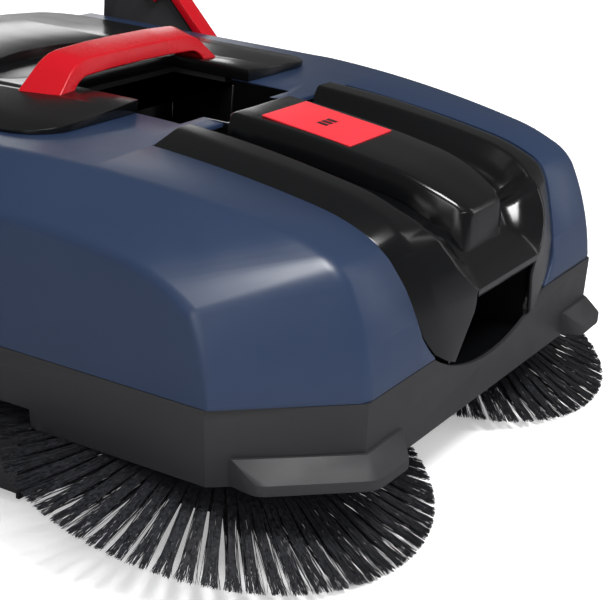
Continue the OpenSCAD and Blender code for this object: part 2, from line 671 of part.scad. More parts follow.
// Lever frame: X along its pin, Y up along the bracket's sloping edge, Z away from it
module lever_place(side) {
    translate([side * bracket_x, 334, 270]) rotate([45, 0, 0]) translate([0, 0, -lever_drop]) children();
}
module clamp_lever(side) {
    color(red) lever_place(side) difference() {
        union() {
            translate([-10, -lever_len, lever_drop + 3]) cube([20, lever_len - 2, 7]);
            for (s = [-1, 1]) translate([s * 8.15 - 1.85, -8, -6]) cube([3.7, 14, lever_drop + 10]);
        }
        rotate([0, 90, 0]) cylinder(r = lever_pin_r, h = 40, center = true, $fn = 32);
    }
}
module lever_pin(side) {
    color(steel) lever_place(side) rotate([0, 90, 0])
        cylinder(r = lever_pin_r, h = 20, center = true, $fn = 32);
}

base_frame();
front_cover();
centre_insert();
label_plate();
bumper(-1);  // left_bumper
bumper(1);  // right_bumper
dirt_ramp();
sweep_lip();
bin_housing();
axle(-1);  // left_axle
axle(1);  // right_axle
brush_spindle(-1);  // left_brush_spindle
brush_spindle(1);  // right_brush_spindle
brush_boss(-1);  // left_brush_boss
brush_boss(1);  // right_brush_boss
shaft_bearings(-1);  // left_shaft_bearings
shaft_bearings(1);  // right_shaft_bearings
bow_bracket(-1);  // left_bow_bracket
bow_bracket(1);  // right_bow_bracket
bow_pin(-1);  // left_bow_pin
bow_pin(1);  // right_bow_pin
cover_screws();
wheel_rim(-1);  // left_wheel_rim
wheel_rim(1);  // right_wheel_rim
tyre(-1);  // left_tyre
tyre(1);  // right_tyre
wheel_gear(-1);  // left_wheel_gear
wheel_gear(1);  // right_wheel_gear
wheel_cap(-1);  // left_wheel_cap
wheel_cap(1);  // right_wheel_cap
drive_shaft(-1);  // left_drive_shaft
drive_shaft(1);  // right_drive_shaft
rear_pinion(-1);  // left_rear_pinion
rear_pinion(1);  // right_rear_pinion
front_pinion(-1);  // left_front_pinion
front_pinion(1);  // right_front_pinion
brush_plate(-1);  // left_brush_plate
brush_plate(1);  // right_brush_plate
bristles(-1);  // left_bristles
bristles(1);  // right_bristles
container_tub();
container_lid();
carry_handle();
container_seal();
handle_screws();
bow_tube();
bow_grip();
clamp_lever(-1);  // left_clamp_lever
clamp_lever(1);  // right_clamp_lever
lever_pin(-1);  // left_lever_pin
lever_pin(1);  // right_lever_pin
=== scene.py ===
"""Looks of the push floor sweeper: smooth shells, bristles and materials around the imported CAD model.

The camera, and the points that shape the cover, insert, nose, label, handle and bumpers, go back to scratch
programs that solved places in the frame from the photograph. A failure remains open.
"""
import json
import math
import random

import bmesh
import bpy
from mathutils import Matrix, Vector


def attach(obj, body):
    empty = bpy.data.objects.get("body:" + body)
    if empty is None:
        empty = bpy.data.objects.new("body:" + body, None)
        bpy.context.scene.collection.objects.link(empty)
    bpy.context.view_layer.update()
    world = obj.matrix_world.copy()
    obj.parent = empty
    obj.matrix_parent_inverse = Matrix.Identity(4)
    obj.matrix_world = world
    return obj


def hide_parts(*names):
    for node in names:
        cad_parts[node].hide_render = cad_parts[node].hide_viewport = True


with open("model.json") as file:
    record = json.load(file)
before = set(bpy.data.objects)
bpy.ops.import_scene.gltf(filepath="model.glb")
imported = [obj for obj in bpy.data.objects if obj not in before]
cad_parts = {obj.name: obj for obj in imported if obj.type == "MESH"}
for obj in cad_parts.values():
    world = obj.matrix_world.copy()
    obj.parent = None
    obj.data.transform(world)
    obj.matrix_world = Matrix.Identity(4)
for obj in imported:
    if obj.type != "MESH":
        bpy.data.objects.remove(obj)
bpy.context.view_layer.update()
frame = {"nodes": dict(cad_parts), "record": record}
MM = 0.001                                # shapes below are written in millimetres
scene = bpy.context.scene
rng = random.Random(7)


# ---- camera, floor and light -------------------------------------------------
def make_camera():
    """The camera looks down at the near front corner."""
    data = bpy.data.cameras.new("camera")
    data.sensor_width = 36.0
    data.lens = 95.3
    data.clip_end = 50.0
    camera = bpy.data.objects.new("camera", data)
    scene.collection.objects.link(camera)
    right = Vector((0.50493919, -0.8601406, 0.07207333))
    up = Vector((0.26068492, 0.2315669, 0.93724071))
    back = right.cross(up)
    turn = Matrix((right, up, back)).transposed().to_4x4()
    camera.matrix_world = Matrix.Translation((-1.02796, -0.5368, 0.51798)) @ turn
    scene.camera = camera


def area_light(name, place, target, size, power):
    """A rectangular soft light that faces target."""
    data = bpy.data.lights.new(name, "AREA")
    data.shape = "RECTANGLE"
    data.size, data.size_y = size
    data.energy = power
    lamp = bpy.data.objects.new(name, data)
    scene.collection.objects.link(lamp)
    lamp.location = place
    lamp.rotation_euler = (Vector(target) - Vector(place)).to_track_quat("-Z", "Y").to_euler()


def dim_reflection(mat):
    """Makes a surface look darker in reflections than it is, as if the room beyond the floor were dark."""
    tree = mat.node_tree
    color = tree.nodes["Principled BSDF"].inputs["Base Color"]
    paint = color.links[0].from_socket
    seen = tree.nodes.new("ShaderNodeLightPath")
    mix = tree.nodes.new("ShaderNodeMix")
    mix.data_type = "RGBA"
    mix.inputs["B"].default_value = (0.2, 0.2, 0.21, 1.0)
    tree.links.new(seen.outputs["Is Glossy Ray"], mix.inputs["Factor"])
    tree.links.new(paint, mix.inputs["A"])
    tree.links.new(mix.outputs["Result"], color)


def lift_shadows(mat):
    """Makes a surface glow a little for the camera alone, so the shadows on it stay pale."""
    tree = mat.node_tree
    shader = tree.nodes["Principled BSDF"]
    shader.inputs["Emission Color"].default_value = (1.0, 1.0, 1.0, 1.0)
    seen = tree.nodes.new("ShaderNodeLightPath")
    glow = tree.nodes.new("ShaderNodeMapRange")
    glow.inputs["To Max"].default_value = 0.35
    tree.links.new(seen.outputs["Is Camera Ray"], glow.inputs["Value"])
    tree.links.new(glow.outputs["Result"], shader.inputs["Emission Strength"])


def make_studio():
    """A pale floor under soft light, with a bright panel low behind the object, to its right."""
    scene.view_settings.view_transform = "Standard"
    world = bpy.data.worlds.new("studio")
    world.use_nodes = True
    tree = world.node_tree
    background = tree.nodes["Background"]
    background.inputs["Color"].default_value = (1.0, 1.0, 1.0, 1.0)
    seen = tree.nodes.new("ShaderNodeLightPath")
    strength = tree.nodes.new("ShaderNodeMapRange")
    strength.inputs["To Min"].default_value = 0.85
    strength.inputs["To Max"].default_value = 0.13
    tree.links.new(seen.outputs["Is Glossy Ray"], strength.inputs["Value"])
    tree.links.new(strength.outputs["Result"], background.inputs["Strength"])
    scene.world = world
    mesh = bpy.data.meshes.new("floor")
    half = 12.0
    corners = [(-half, -half, 0), (half, -half, 0), (half, half, 0), (-half, half, 0)]
    mesh.from_pydata(corners, [], [(0, 1, 2, 3)])
    floor = bpy.data.objects.new("floor", mesh)
    scene.collection.objects.link(floor)
    floor.location.z = -0.0005
    paint = plastic("floor_paint", "#f6f6f6", 0.9, grain=40, depth=0.0001, vary=0.01)
    mesh.materials.append(paint)
    dim_reflection(paint)
    lift_shadows(paint)
    area_light("back_panel", (2.0, 2.7, 0.8), (0.0, 0.0, 0.2), (2.5, 0.9), 14)
    area_light("overhead", (-0.3, -1.05, 2.2), (0.0, 0.0, 0.1), (0.9, 0.6), 50)
    area_light("front_left", (-2.2, -1.4, 1.1), (0.0, 0.0, 0.1), (1.2, 1.0), 11)
    area_light("right_strip", (1.9, -1.3, 0.9), (0.0, -0.05, 0.15), (0.25, 1.4), 2.5)


# ---- materials ---------------------------------------------------------------
def tint(code, factor=1.0):
    """A hex colour as linear RGBA, made lighter or darker by factor."""
    parts = [int(code[i:i + 2], 16) / 255 for i in (1, 3, 5)]
    linear = [p / 12.92 if p <= 0.04045 else ((p + 0.055) / 1.055) ** 2.4 for p in parts]
    return (*[min(1.0, v * factor) for v in linear], 1.0)


def noise(tree, coords, scale, detail=3.0):
    """A noise texture on the object's own coordinates."""
    node = tree.nodes.new("ShaderNodeTexNoise")
    node.inputs["Scale"].default_value = scale
    node.inputs["Detail"].default_value = detail
    tree.links.new(coords.outputs["Object"], node.inputs["Vector"])
    return node


def plastic(name, code, rough, grain=900, depth=0.00003, vary=0.08, metallic=0.0, specular=0.5,
            stretch=None, patch=9.0):
    """A finish with slow colour and gloss changes, and a fine grain in its surface."""
    mat = bpy.data.materials.new(name)
    mat.use_nodes = True
    tree = mat.node_tree
    shader = tree.nodes["Principled BSDF"]
    shader.inputs["Metallic"].default_value = metallic
    shader.inputs["Specular IOR Level"].default_value = specular
    coords = tree.nodes.new("ShaderNodeTexCoord")
    slow = noise(tree, coords, patch)
    ramp = tree.nodes.new("ShaderNodeValToRGB")
    ramp.color_ramp.elements[0].position = 0.3
    ramp.color_ramp.elements[0].color = tint(code, 1 - vary)
    ramp.color_ramp.elements[1].position = 0.7
    ramp.color_ramp.elements[1].color = tint(code, 1 + vary)
    tree.links.new(slow.outputs["Fac"], ramp.inputs["Fac"])
    tree.links.new(ramp.outputs["Color"], shader.inputs["Base Color"])
    smudge = noise(tree, coords, 35.0, 5.0)
    gloss = tree.nodes.new("ShaderNodeMapRange")
    gloss.inputs["To Min"].default_value = max(0.02, rough * 0.85)
    gloss.inputs["To Max"].default_value = min(1.0, rough * 1.2)
    tree.links.new(smudge.outputs["Fac"], gloss.inputs["Value"])
    tree.links.new(gloss.outputs["Result"], shader.inputs["Roughness"])
    fine = noise(tree, coords, grain, 2.0)
    if stretch:
        shaping = tree.nodes.new("ShaderNodeMapping")
        shaping.inputs["Scale"].default_value = stretch
        tree.links.new(coords.outputs["Object"], shaping.inputs["Vector"])
        tree.links.new(shaping.outputs["Vector"], fine.inputs["Vector"])
    bump = tree.nodes.new("ShaderNodeBump")
    bump.inputs["Strength"].default_value = 1.0
    bump.inputs["Distance"].default_value = depth
    tree.links.new(fine.outputs["Fac"], bump.inputs["Height"])
    tree.links.new(bump.outputs["Normal"], shader.inputs["Normal"])
    return mat


MATERIALS = {
    "frame_grey": plastic("moulded_grey", "#28282a", 0.5, grain=1300, depth=0.00006, specular=0.4),
    "cover_blue": plastic("satin_blue", "#202f49", 0.34, grain=1500, depth=0.00001, vary=0.04),
    "gloss_black": plastic("gloss_black", "#08090a", 0.2, grain=700, depth=0.000006),
    "label_red": plastic("label_red", "#dd2834", 0.4, vary=0.05),
    "handle_red": plastic("handle_red", "#ac0716", 0.26, depth=0.00001, vary=0.06, specular=0.3),
    "rubber": plastic("black_rubber", "#161617", 0.7, grain=700, depth=0.00008),
    "tyre": plastic("tyre_rubber", "#1c1c1e", 0.8, grain=500, depth=0.0001),
    "steel": plastic("zinc_steel", "#a9abb0", 0.28, metallic=1.0, stretch=(1, 1, 12)),
    "bow_metal": plastic("coated_tube", "#242528", 0.38, grain=1200, depth=0.00005),
    "gear_plastic": plastic("natural_nylon", "#d6d3c2", 0.42, grain=400),
    "bush": plastic("bearing_plastic", "#8a7a4c", 0.5),
    # The strong fine colour variation (vary 0.75 at patch 420) makes some hairs lighter: painted speckled
    # highlights on the bristles.
    "bristle": plastic("black_nylon_painted_speckle", "#242528", 0.3, grain=2500, depth=0.00002, vary=0.75, patch=420),
}
SLOT_OF = {row["node"]: row["material_slot"] for row in frame["record"]["subparts"]}
BODIES = frame["record"]["behaviour"]["bodies"]
BODY_OF = {node: body for body, nodes in BODIES.items() for node in nodes}


# ---- mesh tools --------------------------------------------------------------
def new_object(name, mesh):
    """An object at the origin that holds mesh."""
    piece = bpy.data.objects.new(name, mesh)
    scene.collection.objects.link(piece)
    return piece


def applied(piece):
    """Turns the modifiers of piece into its mesh."""
    bpy.context.view_layer.update()
    depsgraph = bpy.context.evaluated_depsgraph_get()
    mesh = bpy.data.meshes.new_from_object(piece.evaluated_get(depsgraph))
    piece.modifiers.clear()
    piece.data = mesh
    return piece


def smooth(piece, angle=35):
    """Smooth shading except across edges sharper than angle."""
    piece.data.shade_smooth()
    piece.data.set_sharp_from_angle(angle=math.radians(angle))
    return piece


def bevel(piece, width, segments=2, angle=32, clamp=True):
    """Rounds the sharp edges of piece."""
    mod = piece.modifiers.new("edges", "BEVEL")
    mod.width = width * MM
    mod.segments = segments
    mod.limit_method = "ANGLE"
    mod.angle_limit = math.radians(angle)
    mod.use_clamp_overlap = clamp
    mod.harden_normals = False
    return applied(piece)


def thicken(piece, depth):
    """Gives a sheet a thickness on the side away from its normals."""
    mod = piece.modifiers.new("shell", "SOLIDIFY")
    mod.thickness = depth * MM
    mod.offset = -1.0
    mod.use_quality_normals = True
    mod.use_even_offset = True
    return applied(piece)


def cut(piece, cutter):
    """Takes cutter away from piece, and deletes it."""
    mod = piece.modifiers.new("cut", "BOOLEAN")
    mod.object = cutter
    mod.operation = "DIFFERENCE"
    mod.solver = "FAST"
    applied(piece)
    bpy.data.objects.remove(cutter)
    return piece


def sheet(name, rows, wrap=False):
    """A sheet through rows of points that are given in millimetres."""
    cols = len(rows[0])
    verts = [tuple(c * MM for c in point) for row in rows for point in row]
    last = cols if wrap else cols - 1
    faces = [(r * cols + c, r * cols + (c + 1) % cols, (r + 1) * cols + (c + 1) % cols, (r + 1) * cols + c)
             for r in range(len(rows) - 1) for c in range(last)]
    mesh = bpy.data.meshes.new(name)
    mesh.from_pydata(verts, [], faces)
    piece = new_object(name, mesh)
    tidy(piece)
    return piece


def tidy(piece):
    """Joins equal points, drops empty faces and turns the faces outwards."""
    mesh = bmesh.new()
    mesh.from_mesh(piece.data)
    bmesh.ops.remove_doubles(mesh, verts=mesh.verts, dist=1e-5)
    bmesh.ops.dissolve_degenerate(mesh, edges=mesh.edges, dist=1e-6)
    bmesh.ops.recalc_face_normals(mesh, faces=mesh.faces)
    mesh.to_mesh(piece.data)
    mesh.free()
    return piece


def closed(piece):
    """Closes the open ends of a tube."""
    mesh = bmesh.new()
    mesh.from_mesh(piece.data)
    bmesh.ops.holes_fill(mesh, edges=[edge for edge in mesh.edges if edge.is_boundary], sides=0)
    mesh.to_mesh(piece.data)
    mesh.free()
    return tidy(piece)


def prism(name, outline, axis, low, high, round_mm=0.0):
    """An outline extruded along an axis: x gives (y, z) points, y gives (x, z), z gives (x, y)."""
    place = {"x": lambda p, t: (t, *p), "y": lambda p, t: (p[0], t, p[1]), "z": lambda p, t: (*p, t)}[axis]
    count = len(outline)
    verts = [tuple(c * MM for c in place(p, t)) for t in (low, high) for p in outline]
    faces = [tuple(range(count)), tuple(range(count, 2 * count))]
    faces += [(i, (i + 1) % count, count + (i + 1) % count, count + i) for i in range(count)]
    mesh = bpy.data.meshes.new(name)
    mesh.from_pydata(verts, [], faces)
    piece = tidy(new_object(name, mesh))
    return bevel(piece, round_mm, 4) if round_mm else piece


def rounded(points, radii, steps=4):
    """A polyline with its inner corners rounded; every corner gives steps + 1 points."""
    points = [Vector(p) for p in points]
    out = [points[0]]
    for i in range(1, len(points) - 1):
        before, corner, after = points[i - 1:i + 2]
        back = before - corner
        ahead = after - corner
        reach = min(radii[i - 1], 0.45 * back.length, 0.45 * ahead.length)
        start = corner + back.normalized() * reach if back.length > 1e-6 else corner
        end = corner + ahead.normalized() * reach if ahead.length > 1e-6 else corner
        for k in range(steps + 1):
            t = k / steps
            out.append(start * (1 - t) ** 2 + corner * 2 * t * (1 - t) + end * t * t)
    out.append(points[-1])
    return out


def mirrored(half):
    """A row from the middle outwards becomes a whole row from left to right."""
    return [(-p[0], p[1], p[2]) for p in reversed(half[1:])] + [tuple(p) for p in half]


def dress(piece, node, also=(), angle=35):
    """Gives piece the finish and body of a CAD node, which it replaces."""
    piece.data.materials.clear()
    piece.data.materials.append(MATERIALS[SLOT_OF[node]])
    smooth(piece, angle)
    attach(piece, BODY_OF[node])
    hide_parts(node, *also)
    return piece


def lerp(a, b, t):
    return a + (b - a) * min(1.0, max(0.0, t))


def between(table, value):
    """Reads a table of (value, result) pairs that rise in value."""
    for (v0, r0), (v1, r1) in zip(table, table[1:]):
        if value <= v1:
            return lerp(r0, r1, (value - v0) / (v1 - v0))
    return table[-1][1]


# ---- the cover's curves ------------------------------------------------------
# The top curve's arcs, the slot and much of the insert's tables are results of a scratch program, rounded and
# partly adjusted by hand. The side curve's arcs were chosen to pass through points that were solved.
BODY_HALF = 268.5
SEAM_Z = 115.0
TOP_Z = 233.9
FRONT_Y = 129.0
REAR_Y = 410.0
CREASE_X = 193.5
BRACKET_X = 232                           # middle of the bow's brackets


def arc_chain(y, z, arcs, turn_step):
    """Tangent arcs that head towards -Y and bend down, as (y, z, heading) every turn_step degrees or less."""
    heading = 0.0
    out = [(y, z, 0.0)]
    for radius, sweep in arcs:
        count = max(3, math.ceil(sweep / turn_step), math.ceil(radius * math.radians(sweep) / 14))
        y0, z0, h0 = y, z, heading
        for k in range(1, count + 1):
            heading = h0 + sweep * k / count
            a, b = math.radians(h0), math.radians(heading)
            y = y0 - radius * (math.sin(b) - math.sin(a))
            z = z0 - radius * (math.cos(a) - math.cos(b))
            out.append((y, z, heading))
    return out


CREASE_Z = 205.4                          # height of the side walls at the rear
TOP_CURVE = arc_chain(147, TOP_Z, [(1154, 10), (142, 15), (39, 37), (200, 21)], 3)
SIDE_CURVE = arc_chain(96, CREASE_Z, [(511, 9), (115, 22), (160, 5), (10, 27), (165, 20)], 3)


def at_heading(curve, heading):
    """The point of a curve where it has this heading."""
    for a, b in zip(curve, curve[1:]):
        if heading <= b[2]:
            t = (heading - a[2]) / (b[2] - a[2])
            return [lerp(a[k], b[k], t) for k in range(2)]
    return list(curve[-1][:2])


def crease_half(y):
    """Half width of the top face, which narrows towards the front."""
    return CREASE_X + 0.13 * min(max(0, y + 80), 227)


SLOT_SIDES = [(100, 66), (104, 76.5), (110, 88), (115, 96), (121, 103), (128, 109.5), (135, 115),
              (149, 119.5), (163, 123.5), (171, 126), (180, 130), (191, 134.5), (198, 138), (204, 139),
              (260, 139)]                 # (height, half width)


def slot_half(z):
    """Half width of the cover's slot for the insert, at a height."""
    return between(SLOT_SIDES, z)


def make_cover():
    """The blue cover: a soft crease runs round its top face, and its side walls drop to the seam."""
    rows = []
    headings = sorted(set([p[2] for p in TOP_CURVE] + [p[2] for p in SIDE_CURVE]))
    stations = [(y, TOP_Z, y, CREASE_Z) for y in (REAR_Y, 360, 300, 250, 200, 165)]
    for heading in headings:
        stations.append((*at_heading(TOP_CURVE, heading), *at_heading(SIDE_CURVE, heading)))
    for y1, z1, y2, z2 in stations:
        low = min(SEAM_Z, z2 - 0.02)
        half = [(0, y1, z1), (60, y1, z1), (120, y1, z1), (crease_half(y1), y1, z1),
                (BODY_HALF, y2, z2), (BODY_HALF, y2, low)]
        rows.append(mirrored([half[0], half[1], half[2], *rounded(half[2:], [7, 7], 5)[1:]]))
    last = rows[-1]
    rows.append([(x, y, min(z, SEAM_Z)) for x, y, z in last])
    cover = thicken(sheet("cover", rows), 3.0)
    opening = [(slot_half(z) + 0.6, z) for z in range(96, 266, 4)]
    outline = opening + [(-x, z) for x, z in reversed(opening)]
    cut(cover, prism("slot_cut", outline, "y", -190, 82.5))
    below = [(-400, 60), (400, 60), (400, SEAM_Z + 0.5), (-400, SEAM_Z + 0.5)]
    cut(cover, prism("below_cut", below, "y", -190, 500))
    well = [(-78, 168), (-78, 101), (-47, 101), (-47, 80), (47, 80), (47, 101), (78, 101), (78, 168)]
    cut(cover, prism("well_cut", well, "z", 150, 260))
    tub = [(-143.5, 157), (143.5, 157), (143.5, 440), (-143.5, 440)]
    cut(cover, prism("tub_cut", tub, "z", 100, 260))
    for side in (-1, 1):
        left, right = side * BRACKET_X - 6.5, side * BRACKET_X + 6.5
        slot = [(left, 287), (right, 287), (right, 401), (left, 401)]
        cut(cover, prism("arm_cut", slot, "z", 150, 260))
    bevel(cover, 0.7, 2, 40)
    dress(cover, "front_cover", angle=30)
    # black walls and floor of the well in front of the container
    rows = [[(x * 0.999, y, z) for x, y in well] for z in (232.8, 190, 152)]
    floor = [(-80, 165), (-80, 99), (-49, 99), (-49, 78), (49, 78), (49, 99), (80, 99), (80, 165)]
    for piece in (thicken(sheet("well_lining", rows), -2.0), prism("well_floor", floor, "z", 149, 151.5)):
        dress(piece, "front_cover")
        piece.data.materials[0] = MATERIALS["gloss_black"]


# ---- the gloss insert --------------------------------------------------------
# Each table gives (heading of the top curve, half width), or for a LIFT the height above that curve.
LIP_HEADING = 73.5                        # the channel ends in a lip here
RAIL_OUTER = [(3, 110), (6, 114.5), (8.5, 113.5), (20, 116), (40, 119), (60, 116), (73.5, 103)]
RAIL_INNER = [(3, 90), (7.3, 93), (9.5, 95), (22, 96), (35, 92.5), (48, 89), (63, 85), (65, 82), (68, 76),
              (70, 69), (72, 62), (73.5, 54)]
BAND_FOOT = [(3, 85), (42, 83), (55, 75), (63, 64), (66.5, 57), (68.5, 51.5), (73.5, 50)]
FLOOR_EDGE = [(3, 77), (22, 79), (42, 75), (55, 64), (63, 52), (66.5, 46), (68.5, 44), (73.5, 44)]
RAIL_LIFT = [(3, 7), (40, 7), (62, 6), (73.5, 5)]
EDGE_LIFT = [(3, 7), (35, 8), (48, 9), (63, 13.6), (65, 15), (68, 15.4), (73.5, 15.7)]
BAND_LIFT = [(3, -3), (42, -3), (55, 2), (63, 5.2), (69, 6.3), (73.5, 15.7)]
FLOOR_LIFT = [(3, -12), (45, -12), (56, -9), (63, -5), (66.8, -1.5), (69, 6), (73.5, 15.7)]


def lifted(y, z, heading, x, off):
    """A point at x, raised by off from the top curve."""
    turn = math.radians(heading)
    return (x, y - off * math.sin(turn), z + off * math.cos(turn))


def front_wall_y(z):
    """The cover's front face at a height below its knee."""
    if z < TOP_CURVE[-1][1]:
        return -128.6 - 0.1 * (TOP_CURVE[-1][1] - z)
    for (y0, z0, _), (y1, z1, _) in zip(TOP_CURVE, TOP_CURVE[1:]):
        if z >= z1:
            return lerp(y0, y1, (z0 - z) / (z0 - z1))
    return -FRONT_Y


def insert_row(heading):
    """The insert's cross section: edge, rail, channel floor, and the same on the other side."""
    y, z = at_heading(TOP_CURVE, heading)
    rail = between(RAIL_OUTER, heading)
    inner = between(RAIL_INNER, heading)
    floor_off = between(FLOOR_LIFT, heading)
    half = [lifted(y, z, heading, 0, floor_off),
            lifted(y, z, heading, between(FLOOR_EDGE, heading), floor_off),
            lifted(y, z, heading, between(BAND_FOOT, heading), between(BAND_LIFT, heading)),
            lifted(y, z, heading, inner, between(EDGE_LIFT, heading)),
            lifted(y, z, heading, rail, between(RAIL_LIFT, heading)),
            lifted(y, z, heading, slot_half(z) - 0.5, -1.0), lifted(y, z, heading, slot_half(z) - 0.6, -9.0)]
    return mirrored(rounded(half, [6, 4, 3.2, 4.5, 1.2], 5))


RIM = 13                                  # number of the row point where the rail's inner edge begins


def opening_half(z):
    """Half width of the grip opening, at a height."""
    return between([(103.8, 65.5), (139, 49.7), (149, 51), (157, 54.3)], z)


def leg_row(t):
    """The right leg's cross section, t of the way from the lip down to its foot in the base's notch."""
    y, z = at_heading(TOP_CURVE, LIP_HEADING)
    z_in = lerp(156.2, 103.8, t)
    z_out = lerp(z, 118, t)
    wall_y = front_wall_y(z_out)
    edge_y = lerp(-136.7, -131, t)
    half = [(opening_half(z_in) + 3, edge_y + 12, z_in), (opening_half(z_in), edge_y, z_in),
            (lerp(101, 80.5, t), wall_y - lerp(6, 1.7, t), lerp(z + 1.4, 109, t)),
            (slot_half(z_out) - lerp(0.5, 3.5, t), wall_y + 1.0, z_out),
            (slot_half(z_out) - lerp(0.6, 3.6, t), wall_y + 9.0, z_out)]
    return [tuple(p) for p in rounded(half, [3.2, 9, 1.2], 5)[1:]]


def joined(name, pieces):
    """One mesh from pieces that share their border points."""
    mesh = bmesh.new()
    for piece in pieces:
        mesh.from_mesh(piece.data)
        bpy.data.objects.remove(piece)
    data = bpy.data.meshes.new(name)
    mesh.to_mesh(data)
    mesh.free()
    return tidy(new_object(name, data))


def make_insert():
    """Rails, channel, lip and legs of the gloss insert, as one moulding."""
    headings = [3.2 + 6.8 * k / 12 for k in range(12)] + [10 + 63.5 * k / 50 for k in range(51)]
    rows = [insert_row(h) for h in headings]
    middle = len(rows[-1]) // 2
    last = rows[-1][middle:]
    shell = [sheet("channel", rows)]
    leg = [last[RIM:]] + [leg_row((k / 16) ** 0.9) for k in range(1, 17)]
    shell.append(sheet("right_leg", leg))
    shell.append(sheet("left_leg", [[(-x, y, z) for x, y, z in reversed(row)] for row in leg]))
    front = rows[-1][middle - RIM - 2:middle + RIM + 3]
    lip = front
    for drop, depth in ((1.5, 0.2), (6.0, 0.9), (7.3, 2.5), (7.4, 13)):
        narrow = 1.01 * opening_half(156 - drop) / opening_half(156)
        lip_row = [(x * narrow, y + depth, z - drop) for x, y, z in front]
        shell.append(sheet("lip", [lip, lip_row]))
        lip = lip_row
    dress(thicken(joined("insert", shell), 2.5), "centre_insert", angle=50)
    cup = closed(prism("grip_cup", [(-67, 88), (67, 88), (67, 150), (-67, 150)], "y", -125.4, -66))
    shape = bmesh.new()
    shape.from_mesh(cup.data)
    mouth = [face for face in shape.faces if face.calc_center_median().y < -125 * MM]
    bmesh.ops.delete(shape, geom=mouth, context="FACES")
    shape.to_mesh(cup.data)
    shape.free()
    dress(thicken(cup, 3.0), "centre_insert")


NOSE_FRONT = (-112.6, 200.6)


def nose_line(steps=6):
    """Side view of the block's top: along the arch, then down to the nose."""
    out = []
    for k in range(6):
        heading = 3.2 + 6.8 * k / 5
        y, z = at_heading(TOP_CURVE, heading)
        out.append(lifted(y, z, heading, 0, 7.5)[1:])
    start, corner, end = Vector(out[-1]), Vector((-80.1, 219.0)), Vector(NOSE_FRONT)
    for k in range(1, steps + 1):
        t = k / steps
        out.append(tuple(start * (1 - t) ** 2 + corner * 2 * t * (1 - t) + end * t * t))
    return out


def nose_width(y):
    """Half width of the block's top."""
    return between([(-140, 28.5), (-113, 29.5), (-80, 38), (-40, 41), (82, 42.5)], y)


def make_block():
    """The raised block between the channels, which ends in the nose."""
    line = nose_line()
    mesh = bmesh.new()
    rings = []
    for y, z in line:
        half = nose_width(y)
        drop = between([(-113, 37), (-95, 27), (-70, 22), (82, 21)], y)
        flare = between([(-113, 4), (-80, 5), (82, 6)], y)
        xs = (-half - flare, -half, -half / 3, half / 3, half, half + flare)
        zs = (z - drop, z, z, z, z, z - drop)
        rings.append([mesh.verts.new((x * MM, y * MM, h * MM)) for x, h in zip(xs, zs)])
    base = [mesh.verts.new((x * MM, -115 * MM, 167 * MM)) for x in (-33, -11, 11, 33)]
    for a, b in zip(rings, rings[1:]):
        for k in range(5):
            mesh.faces.new((a[k], a[k + 1], b[k + 1], b[k]))
    front = rings[-1]
    for k in range(3):
        mesh.faces.new((front[k + 1], front[k + 2], base[k + 1], base[k]))
    mesh.faces.new((front[0], front[1], base[0]))
    mesh.faces.new((front[5], base[3], front[4]))
    mesh.faces.new(rings[0])
    mesh.faces.new([ring[0] for ring in rings] + base + [ring[5] for ring in reversed(rings)])
    upright = [edge for edge in mesh.edges if set(edge.verts) in ({front[1], base[0]}, {front[4], base[3]})]
    bmesh.ops.bevel(mesh, geom=upright, offset=9 * MM, segments=5, profile=0.5, affect="EDGES")
    data = bpy.data.meshes.new("nose_block")
    mesh.to_mesh(data)
    mesh.free()
    block = tidy(new_object("nose_block", data))
    bevel(block, 4.0, 4, 30, clamp=False)
    dress(block, "centre_insert", angle=50)


def make_label():
    """The red plate on the block, with a small generic mark."""
    y0, y1 = -15.8, 59.8
    z0, z1 = 229.2, 238.2
    slope = math.atan2(z1 - z0, y1 - y0)
    turn = Matrix.Translation((0, (y0 + y1) / 2 * MM, (z0 + z1) / 2 * MM)) @ Matrix.Rotation(slope, 4, "X")
    outline = [(-32.4, -38), (32.4, -38), (32.4, 38), (-32.4, 38)]
    plate = prism("label", outline, "z", 0.2, 1.7, 0.5)
    plate.data.transform(turn)
    dress(plate, "label_plate")
    ink = plastic("mark_ink", "#3a0d12", 0.4)
    for x in (-9, -2.2, 4.6):
        mark = prism("mark", [(x, -4), (x + 5.2, -4), (x + 5.2, 4.5), (x, 4.5)], "z", 1.5, 1.85, 0.15)
        mark.data.transform(turn)
        dress(mark, "label_plate")
        mark.data.materials[0] = ink


def make_handle():
    """The red carry handle: its legs flare towards the rear and turn into the bar with soft bends."""
    edges = {
        "front_top": [(0, 194, 265.5), (40, 194.5, 265.3), (78, 195.5, 264.2), (113, 188.5, 236)],
        "rear_top": [(0, 220.5, 270.2), (40, 220.5, 269.8), (87, 220, 267.8), (121, 224, 236)],
        "rear_under": [(0, 220.5, 255), (40, 220.5, 254.6), (82, 221, 252), (97, 224, 236)],
        "front_under": [(0, 192, 253.4), (40, 192, 253), (78, 191.6, 251.4), (93, 190, 236)],
    }
    soft = [rounded(points, [4, 15], 7) for points in edges.values()]
    half = [[tuple(edge[k]) for edge in soft] for k in range(len(soft[0]))]
    half.append([(x, y, 233) for x, y, z in half[-1]])
    rows = [[(-x, y, z) for x, y, z in ring] for ring in reversed(half[1:])] + half
    handle = closed(sheet("handle", rows, wrap=True))
    bevel(handle, 3.4, 4, 40)
    dress(handle, "carry_handle", angle=50)


# ---- bristles ----------------------------------------------------------------
BRUSH_X, BRUSH_R = 166.0, 160.0
BRUSH_TILT = math.radians(12.3)
TUFTS = 66
HAIRS = 88                                # bristles in a tuft


